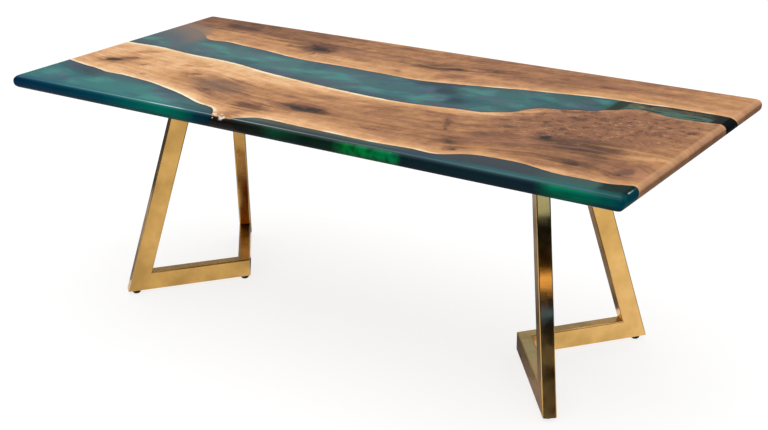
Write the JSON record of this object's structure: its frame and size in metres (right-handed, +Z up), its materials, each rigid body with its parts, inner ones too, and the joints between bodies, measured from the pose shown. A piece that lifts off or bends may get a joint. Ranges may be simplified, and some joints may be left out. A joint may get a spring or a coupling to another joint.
{
  "type": "live edge dining table",
  "caption": "Rectangular dining table with a walnut and teal resin river top, live edges and brass-coloured folded tube legs on levelling feet.",
  "frame": {"origin": "on the floor, under the middle of the top", "axes": "+X along the table's length, -Y towards the front edge with the resin strip, +Z up"},
  "size_m": [2.06, 0.95, 0.75],
  "materials": {
    "walnut": "oiled, satin gloss",
    "resin": "polished",
    "gold_metal": "polished plating",
    "black_steel": "matt powder coat",
    "zinc_steel": "zinc plated",
    "black_nylon": "moulded"
  },
  "bodies": {
    "table": {"front_slab": "walnut", "rear_slab": "walnut", "river_resin": "resin", "front_left_resin": "resin", "front_right_resin": "resin", "left_front_base_bar": "gold_metal", "left_front_upright": "gold_metal", "left_rear_base_bar": "gold_metal", "left_rear_upright": "gold_metal", "right_front_base_bar": "gold_metal", "right_front_upright": "gold_metal", "right_rear_base_bar": "gold_metal", "right_rear_upright": "gold_metal", "left_top_plate": "black_steel", "right_top_plate": "black_steel", "plate_bolts": "zinc_steel", "plate_washers": "zinc_steel", "threaded_inserts": "zinc_steel", "foot_nuts": "zinc_steel"},
    "left_front_foot": {"left_front_foot_pad": "black_nylon"},
    "left_front_stud": {"left_front_foot_stud": "zinc_steel"},
    "left_rear_foot": {"left_rear_foot_pad": "black_nylon"},
    "left_rear_stud": {"left_rear_foot_stud": "zinc_steel"},
    "left_apex_foot": {"left_apex_foot_pad": "black_nylon"},
    "left_apex_stud": {"left_apex_foot_stud": "zinc_steel"},
    "right_front_foot": {"right_front_foot_pad": "black_nylon"},
    "right_front_stud": {"right_front_foot_stud": "zinc_steel"},
    "right_rear_foot": {"right_rear_foot_pad": "black_nylon"},
    "right_rear_stud": {"right_rear_foot_stud": "zinc_steel"},
    "right_apex_foot": {"right_apex_foot_pad": "black_nylon"},
    "right_apex_stud": {"right_apex_foot_stud": "zinc_steel"}
  },
  "joints": [
    {"name": "left_front_foot_level", "type": "slide", "parent": "table", "child": "left_front_foot", "axis": [0, 0, -1], "range_m": [0, 0.01]},
    {"name": "left_front_stud_turn", "type": "hinge", "parent": "left_front_foot", "child": "left_front_stud", "pos_m": [-0.76272, -0.28525, 0], "axis": [0, 0, -1], "range_deg": [0, 2881]},
    {"name": "left_rear_foot_level", "type": "slide", "parent": "table", "child": "left_rear_foot", "axis": [0, 0, -1], "range_m": [0, 0.01]},
    {"name": "left_rear_stud_turn", "type": "hinge", "parent": "left_rear_foot", "child": "left_rear_stud", "pos_m": [-0.76272, 0.28525, 0], "axis": [0, 0, -1], "range_deg": [0, 2881]},
    {"name": "left_apex_foot_level", "type": "slide", "parent": "table", "child": "left_apex_foot", "axis": [0, 0, -1], "range_m": [0, 0.01]},
    {"name": "left_apex_stud_turn", "type": "hinge", "parent": "left_apex_foot", "child": "left_apex_stud", "pos_m": [-0.535, 0, 0], "axis": [0, 0, -1], "range_deg": [0, 2881]},
    {"name": "right_front_foot_level", "type": "slide", "parent": "table", "child": "right_front_foot", "axis": [0, 0, -1], "range_m": [0, 0.01]},
    {"name": "right_front_stud_turn", "type": "hinge", "parent": "right_front_foot", "child": "right_front_stud", "pos_m": [0.76272, -0.28525, 0], "axis": [0, 0, -1], "range_deg": [0, 2881]},
    {"name": "right_rear_foot_level", "type": "slide", "parent": "table", "child": "right_rear_foot", "axis": [0, 0, -1], "range_m": [0, 0.01]},
    {"name": "right_rear_stud_turn", "type": "hinge", "parent": "right_rear_foot", "child": "right_rear_stud", "pos_m": [0.76272, 0.28525, 0], "axis": [0, 0, -1], "range_deg": [0, 2881]},
    {"name": "right_apex_foot_level", "type": "slide", "parent": "table", "child": "right_apex_foot", "axis": [0, 0, -1], "range_m": [0, 0.01]},
    {"name": "right_apex_stud_turn", "type": "hinge", "parent": "right_apex_foot", "child": "right_apex_stud", "pos_m": [0.535, 0, 0], "axis": [0, 0, -1], "range_deg": [0, 2881]}
  ],
  "couplings": [
    {"joint": "left_front_stud_turn", "follows": "left_front_foot_level", "rad_per_m": 5026.5},
    {"joint": "left_rear_stud_turn", "follows": "left_rear_foot_level", "rad_per_m": 5026.5},
    {"joint": "left_apex_stud_turn", "follows": "left_apex_foot_level", "rad_per_m": 5026.5},
    {"joint": "right_front_stud_turn", "follows": "right_front_foot_level", "rad_per_m": 5026.5},
    {"joint": "right_rear_stud_turn", "follows": "right_rear_foot_level", "rad_per_m": 5026.5},
    {"joint": "right_apex_stud_turn", "follows": "right_apex_foot_level", "rad_per_m": 5026.5}
  ]
}
